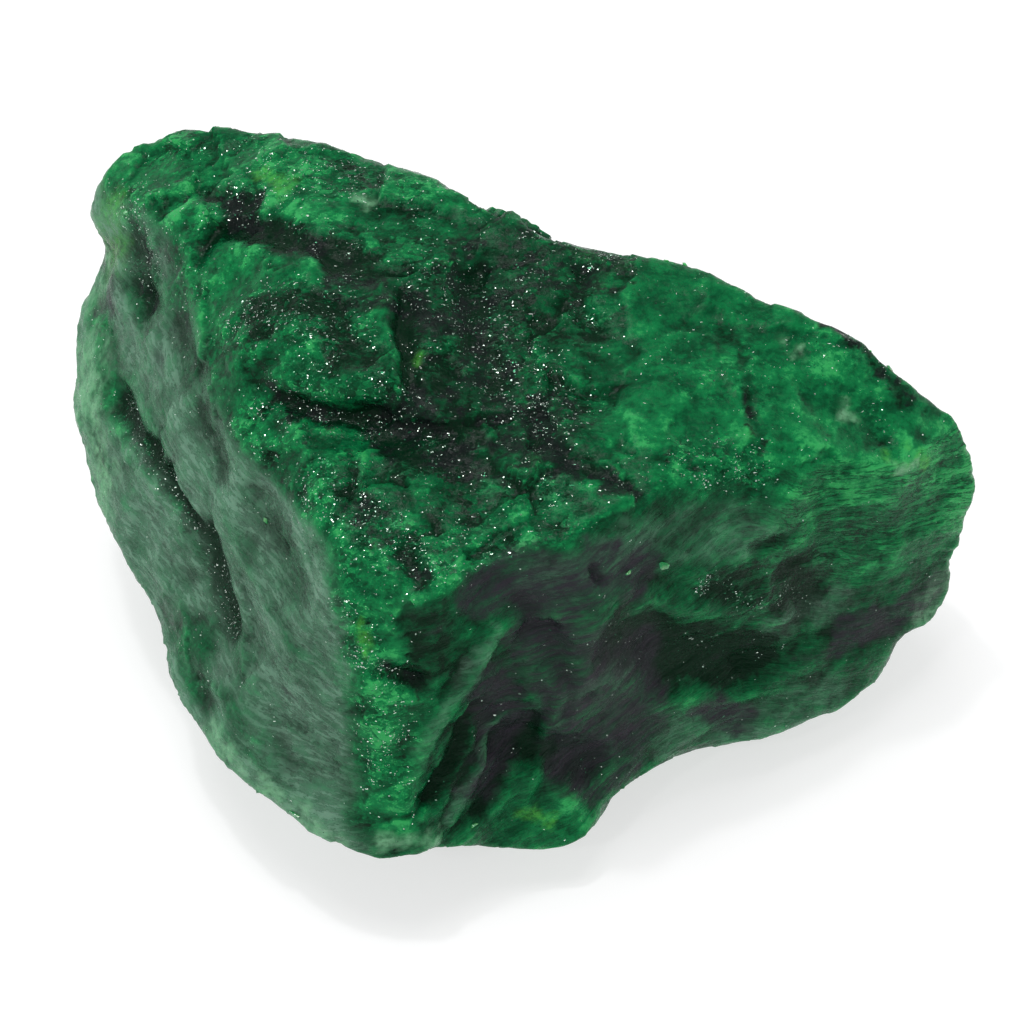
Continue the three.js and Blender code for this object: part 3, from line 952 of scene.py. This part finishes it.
def beryl_covered(tree, patterns, green, colours):
    """The green with what covers it, from the yellow-green of thin edges to the mica, with painted
    sheen in the waxy film, painted shade in the dusky film and painted highlights among the pale marks.
    """
    fine, hair = patterns.fine, patterns.hair
    lime = times(tree, shader_attribute(tree, "lime"), spread(tree, fine, 0.35, 0.7, 0.15, 0.6))
    # Waxy skin with painted sheen: more on swells, less in hollows and hairlines.
    wax = times(tree, shader_attribute(tree, "wax"), spread(tree, hair, 0.36, 0.6, 0.5, 1.0))
    wax = calc(tree, "MULTIPLY", wax, with_some(tree, 0.95, patterns.swell, 0.35), clamp=True)
    wax = times(tree, wax, with_some(tree, 1.0, patterns.hairlines, -0.5))
    pale = times(tree, shader_attribute(tree, "pale"), spread(tree, fine, 0.3, 0.6, 0.45, 0.9))
    # Dusky film, partly painted shade on the front wall.
    dusk = times(tree, shader_attribute(tree, "dusk"), spread(tree, hair, 0.38, 0.6, 1.0, 0.7))
    dusk = times(tree, dusk, spread(tree, patterns.lines, 0.42, 0.62, 1.0, 0.6))
    mica = with_some(tree, shader_attribute(tree, "mica"), centred(tree, fine), 0.9)
    mica = spread(tree, mica, 0.1, 0.95, 0.0, 0.9)
    colour = green
    for cover, cover_colour in (
        (lime, colours.lime), (wax, colours.wax), (pale, colours.pale), (dusk, colours.dusk),
        (mica, colours.mica),
    ):
        colour = blend(tree, cover, colour, tuple(cover_colour))
    return colour


def beryl_ripple(tree, patterns):
    """The height of the relief that is too fine for the mesh, in millimetres."""
    walls = patterns.walls
    ripple = calc(tree, "MULTIPLY", patterns.fine, 0.05)
    ripple = with_some(tree, ripple, patterns.hair, times(tree, walls, 0.06))
    ripple = with_some(tree, ripple, patterns.lines, times(tree, walls, 0.28))
    ripple = with_some(tree, ripple, patterns.hairlines, -0.008)
    return with_some(tree, ripple, patterns.bands, -0.02)


def beryl_material(colours, sparkle):
    """The stone: green beryl with waxy film and painted sheen, dusky film and painted shade, painted
    light and shade on its relief, a mica seam and tiny bright facets.
    """
    material, tree, shader, where = new_material("Beryl")
    patterns = beryl_patterns(tree, where)
    facets, glint = beryl_facets(tree, where, patterns.sugar, sparkle)
    colour = beryl_green(tree, patterns, facets, colours)
    colour = beryl_covered(tree, patterns, colour, colours)
    flash = spread(tree, facets["Light"], 0.2, 1.0)
    flash = blend(tree, flash, (0.03, 0.16, 0.08, 1), (0.9, 1, 0.92, 1))
    tree.links.new(blend(tree, glint, colour, flash), shader.inputs["Base Color"])
    tree.links.new(glint, shader.inputs["Metallic"])
    rough = spread(tree, facets["Random"], 0.2, 0.8, 0.1, 0.26)
    tree.links.new(with_some(tree, rough, patterns.walls, 0.04), shader.inputs["Roughness"])
    bump = place(tree, "ShaderNodeBump", {
        "Strength": 1.0, "Distance": MM, "Height": beryl_ripple(tree, patterns),
        "Normal": facets["Normal"]})
    tree.links.new(bump.outputs[0], shader.inputs["Normal"])
    shader.inputs["IOR"].default_value = BERYL_IOR
    shader.inputs["Specular IOR Level"].default_value = 0.05
    shader.inputs["Subsurface Weight"].default_value = 0.2
    shader.inputs["Subsurface Radius"].default_value = (0.25, 1.0, 0.5)
    shader.inputs["Subsurface Scale"].default_value = 0.4 * MM
    return material


def flake_material():
    """Mica: thin plates that mirror the light."""
    material, tree, shader, where = new_material("Mica")
    tone = spread(tree, cloud(tree, where, 4.0, 2, 0.5), 0.3, 0.7)
    colour = blend(tree, tone, (0.03, 0.1, 0.06, 1), (0.5, 0.62, 0.54, 1))
    tree.links.new(colour, shader.inputs["Base Color"])
    shader.inputs["Metallic"].default_value = 1.0
    tree.links.new(spread(tree, tone, 0.0, 1.0, 0.12, 0.3), shader.inputs["Roughness"])
    return material


def chip_material():
    """Chips of clearer beryl, from green to whitish."""
    material, tree, shader, where = new_material("Beryl chips")
    tones = place(tree, "ShaderNodeGroup", {}, node_tree=bpy.data.node_groups["Beryl tones"])
    tree.links.new(shader_attribute(tree, "tone"), tones.inputs["Tone"])
    cloudy = spread(tree, cloud(tree, where, 3.0, 3, 0.6), 0.4, 0.65, 0.0, 0.3)
    colour = blend(tree, cloudy, tones.outputs["Color"], (0.24, 0.5, 0.2, 1))
    tree.links.new(colour, shader.inputs["Base Color"])
    facets = place(tree, "ShaderNodeGroup", {}, node_tree=bpy.data.node_groups["Crystal facets"])
    tree.links.new(where, facets.inputs["Vector"])
    facets.inputs["Tilt"].default_value = 0.25
    tree.links.new(facets.outputs["Normal"], shader.inputs["Normal"])
    shader.inputs["Roughness"].default_value = 0.15
    shader.inputs["IOR"].default_value = BERYL_IOR
    shader.inputs["Subsurface Weight"].default_value = 0.4
    shader.inputs["Subsurface Radius"].default_value = (0.5, 1.0, 0.4)
    shader.inputs["Subsurface Scale"].default_value = 0.8 * MM
    return material


# ---------------------------------------------------------------- flakes and chips


def flakes_tree():
    """The Geometry Nodes tree that scatters mica flakes where the surface is sugary or dark."""
    numbers = [("Density", "Float", 0.0), ("Size", "Float", 0.0), ("Seed", "Int", 0)]
    tree, value, result = geometry_group("Mica flakes", numbers)

    def random(low, high, kind="FLOAT"):
        made = place(tree, "FunctionNodeRandomValue", data_type=kind)
        first = 0 if kind == "FLOAT_VECTOR" else 2
        made.inputs[first].default_value = low
        made.inputs[first + 1].default_value = high
        tree.links.new(value["Seed"], made.inputs["Seed"])
        return made.outputs[0 if kind == "FLOAT_VECTOR" else 1]

    where = place(tree, "GeometryNodeInputPosition").outputs[0]
    millimetres = vector_calc(tree, "SCALE", where, scale=1 / MM)
    wanted = calc(tree, "MAXIMUM", stored(tree, "glitter"), 0.006)
    density = calc(tree, "MULTIPLY", wanted, value["Density"])
    up = place(tree, "ShaderNodeSeparateXYZ", {0: where}).outputs[2]
    density = calc(tree, "MULTIPLY", density, calc(tree, "GREATER_THAN", up, 1.5 * MM))
    density = calc(tree, "DIVIDE", density, MM * MM)
    dots = place(tree, "GeometryNodeDistributePointsOnFaces", {
        "Mesh": value["Geometry"], "Density": density, "Seed": value["Seed"]})
    plate = place(tree, "GeometryNodeMeshCylinder", {
        "Vertices": 5, "Radius": calc(tree, "MULTIPLY", value["Size"], 0.5),
        "Depth": calc(tree, "MULTIPLY", value["Size"], 0.35)})
    turn = random((-0.6, -0.6, -3.1), (0.6, 0.6, 3.1), "FLOAT_VECTOR")
    turned = place(tree, "FunctionNodeRotateRotation", {
        "Rotation": dots.outputs["Rotation"], "Rotate By": turn}, rotation_space="LOCAL")
    plates = place(tree, "GeometryNodeInstanceOnPoints", {
        "Points": dots.outputs["Points"], "Instance": plate.outputs["Mesh"],
        "Rotation": turned.outputs[0], "Scale": random(0.45, 1.35)})
    end_tree(tree, plates.outputs[0], "Mica", result)
    return tree


def scattered_flakes(stone, sparkle):
    """The mica flakes as one mesh object."""
    flakes = bpy.data.objects.new("mica_flakes", stone.data.copy())
    bpy.context.scene.collection.objects.link(flakes)
    flakes.modifiers.new("Flakes", "NODES").node_group = flakes_tree()
    set_inputs(flakes.modifiers["Flakes"], {
        "Density": sparkle.count, "Size": sparkle.size, "Seed": sparkle.seed})
    return only_mesh(flakes, "mica_flakes")


def chip_shape(chip_length, seed):
    """One angular splinter round the origin, as places in metres."""
    noise.seed_set(NOISE_SEED)
    corners = []
    for i in range(9):
        way = noise.noise_vector(Vector((seed * 3.7, i * 1.9, 0.5))).normalized()
        corners.append(Vector((way.x * 0.5, way.y * 0.3, way.z * 0.24)) * chip_length * MM)
    return corners


def chips_mesh(stone):
    """All the chips in one mesh, each sunk a little into the stone."""
    surface = BVHTree.FromObject(stone, bpy.context.evaluated_depsgraph_get())
    made = bmesh.new()
    tone_layer = made.verts.layers.float.new("tone")
    for seed, (chip_length, tone, spot) in enumerate(CHIPS):
        place_on, facing, _, _ = surface.find_nearest(Vector(spot) * MM)
        turn = facing.to_track_quat("Z", "Y")
        corners = [
            made.verts.new(place_on + turn @ corner + facing * 0.08 * chip_length * MM)
            for corner in chip_shape(chip_length, seed)
        ]
        for corner in corners:
            corner[tone_layer] = tone
        hull = bmesh.ops.convex_hull(made, input=corners)
        spare = [g for g in hull["geom_interior"] if isinstance(g, bmesh.types.BMVert)]
        bmesh.ops.delete(made, geom=spare, context="VERTS")
    bmesh.ops.recalc_face_normals(made, faces=made.faces)
    mesh = bpy.data.meshes.new("beryl_chips")
    made.to_mesh(mesh)
    made.free()
    return mesh


# ---------------------------------------------------------------- studio


def bowl_mesh():
    """A level floor that sweeps up into a wall all round."""
    flat_radius, wall_radius, wall_height = 0.45, 0.8, 0.5
    profile = [(0.0, 0.0), (0.1, 0.0), (0.25, 0.0), (flat_radius, 0.0)]
    for i in range(1, 13):
        turn = math.radians(90) * i / 12
        across = flat_radius + (wall_radius - flat_radius) * math.sin(turn)
        profile.append((across, wall_height * (1 - math.cos(turn))))
    made = bmesh.new()
    start = [made.verts.new((across, 0, up)) for across, up in profile]
    edges = [made.edges.new(pair) for pair in zip(start, start[1:])]
    bmesh.ops.spin(made, geom=start + edges, cent=(0, 0, 0), axis=(0, 0, 1), angle=math.tau, steps=64)
    bmesh.ops.remove_doubles(made, verts=made.verts, dist=0.1 * MM)
    bmesh.ops.recalc_face_normals(made, faces=made.faces)
    if sum(face.normal.z for face in made.faces) < 0:
        bmesh.ops.reverse_faces(made, faces=made.faces)
    for face in made.faces:
        face.smooth = True
    mesh = bpy.data.meshes.new("studio_bowl")
    made.to_mesh(mesh)
    made.free()
    return mesh


def bowl_material():
    """Plain white card, lit a little from behind so that its shadows stay soft."""
    material, _, shader, _ = new_material("White card")
    shader.inputs["Base Color"].default_value = (0.42, 0.42, 0.425, 1)
    shader.inputs["Roughness"].default_value = 0.9
    shader.inputs["Emission Color"].default_value = (1, 1, 1, 1)
    shader.inputs["Emission Strength"].default_value = 0.62
    material.cycles.emission_sampling = "NONE"
    return material


def add_light(name, place_at, width, power):
    """A round light that looks down at the stone."""
    light = bpy.data.lights.new(name, "AREA")
    light.shape = "DISK"
    light.size = width
    light.energy = power
    made = bpy.data.objects.new(name, light)
    made.location = place_at
    made.rotation_euler = (Vector((0, 0, 0.01)) - Vector(place_at)).to_track_quat("-Z", "Y").to_euler()
    bpy.context.scene.collection.objects.link(made)


def add_camera(studio):
    """The camera, which looks down at the stone's sharp front corner."""
    low, high = CAD_BOX
    aim = Vector(((low[0] + high[0]) / 2 - 0.25 * MM, (low[1] + high[1]) / 2 - 0.3 * MM, 12 * MM))
    back = Vector((0, -math.cos(studio.raised), math.sin(studio.raised)))
    camera = bpy.data.cameras.new("camera")
    camera.lens = studio.lens
    camera.sensor_width = 36
    camera.clip_start = 0.01
    camera.clip_end = 10
    made = bpy.data.objects.new("camera", camera)
    made.location = aim + back * studio.distance
    made.rotation_euler = (math.radians(90) - studio.raised, 0, 0)
    bpy.context.scene.collection.objects.link(made)
    bpy.context.scene.camera = made


# ---------------------------------------------------------------- operators


def finish_piece(piece):
    """Ties a finished piece to the solid's body."""
    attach(piece, BODY)


class EMERALD_OT_stone(bpy.types.Operator):
    """Makes the stone with its broken surface and its beryl material"""

    bl_idname = "emerald.stone"
    bl_label = "Stone"

    def execute(self, context):
        settings = context.scene.emerald
        facets_group()
        beryl_material(settings.colours, settings.sparkle)
        stone = broken_lump(settings.surface)
        finish_piece(stone)
        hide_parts(NODE)
        return {"FINISHED"}


class EMERALD_OT_flakes(bpy.types.Operator):
    """Scatters mica flakes over the seam and the sugary faces"""

    bl_idname = "emerald.flakes"
    bl_label = "Mica flakes"

    def execute(self, context):
        flake_material()
        finish_piece(scattered_flakes(bpy.data.objects["emerald_stone"], context.scene.emerald.sparkle))
        return {"FINISHED"}


class EMERALD_OT_chips(bpy.types.Operator):
    """Sets splinters of clearer beryl on the surface"""

    bl_idname = "emerald.chips"
    bl_label = "Chips"

    def execute(self, context):
        mesh = chips_mesh(bpy.data.objects["emerald_stone"])
        mesh.materials.append(chip_material())
        chips = bpy.data.objects.new("beryl_chips", mesh)
        context.scene.collection.objects.link(chips)
        finish_piece(chips)
        return {"FINISHED"}


class EMERALD_OT_studio(bpy.types.Operator):
    """Makes the white bowl, the lights and the camera"""

    bl_idname = "emerald.studio"
    bl_label = "Studio"

    def execute(self, context):
        scene = context.scene
        studio = scene.emerald.studio
        mesh = bowl_mesh()
        mesh.materials.append(bowl_material())
        bowl = bpy.data.objects.new("studio_bowl", mesh)
        scene.collection.objects.link(bowl)
        add_light("soft_light", (-0.08, 0.1, 0.72), 0.45, studio.light)
        add_light("hard_light", (-0.12, 0.06, 0.72), 0.05, studio.spark)
        add_light("front_light", (-0.3, -0.42, 0.5), 0.04, studio.spark * 0.4)
        scene.world = bpy.data.worlds.new("room")
        scene.world.use_nodes = True
        backdrop = scene.world.node_tree.nodes["Background"]
        backdrop.inputs["Color"].default_value = (1, 1, 1, 1)
        backdrop.inputs["Strength"].default_value = studio.room
        scene.view_settings.view_transform = "Standard"
        add_camera(studio)
        return {"FINISHED"}


class EMERALD_PT_panel(bpy.types.Panel):
    """Lists the stone's settings and the steps that build it"""

    bl_idname = "EMERALD_PT_panel"
    bl_label = "Emerald"
    bl_space_type = "VIEW_3D"
    bl_region_type = "UI"
    bl_category = "Emerald"

    def draw(self, context):
        settings = context.scene.emerald
        for title, part, operator in (
            ("Surface", settings.surface, "emerald.stone"),
            ("Colours", settings.colours, None),
            ("Sparkle", settings.sparkle, "emerald.flakes"),
            ("Chips", None, "emerald.chips"),
            ("Studio", settings.studio, "emerald.studio"),
        ):
            box = self.layout.box()
            box.label(text=title)
            for name in part.__annotations__ if part else ():
                box.prop(part, name)
            if operator:
                box.operator(operator)


CLASSES = (
    EmeraldSurface,
    EmeraldColours,
    EmeraldSparkle,
    EmeraldStudio,
    EmeraldSettings,
    EMERALD_OT_stone,
    EMERALD_OT_flakes,
    EMERALD_OT_chips,
    EMERALD_OT_studio,
    EMERALD_PT_panel,
)


def register():
    """Adds the classes and the scene's settings."""
    for each in CLASSES:
        bpy.utils.register_class(each)
    bpy.types.Scene.emerald = PointerProperty(type=EmeraldSettings)


def unregister():
    """Takes the settings and the classes away again."""
    del bpy.types.Scene.emerald
    for each in reversed(CLASSES):
        bpy.utils.unregister_class(each)


def main():
    """Builds the stone and its studio."""
    register()
    bpy.ops.emerald.stone()
    bpy.ops.emerald.flakes()
    bpy.ops.emerald.chips()
    bpy.ops.emerald.studio()


if __name__ == "__main__":
    main()
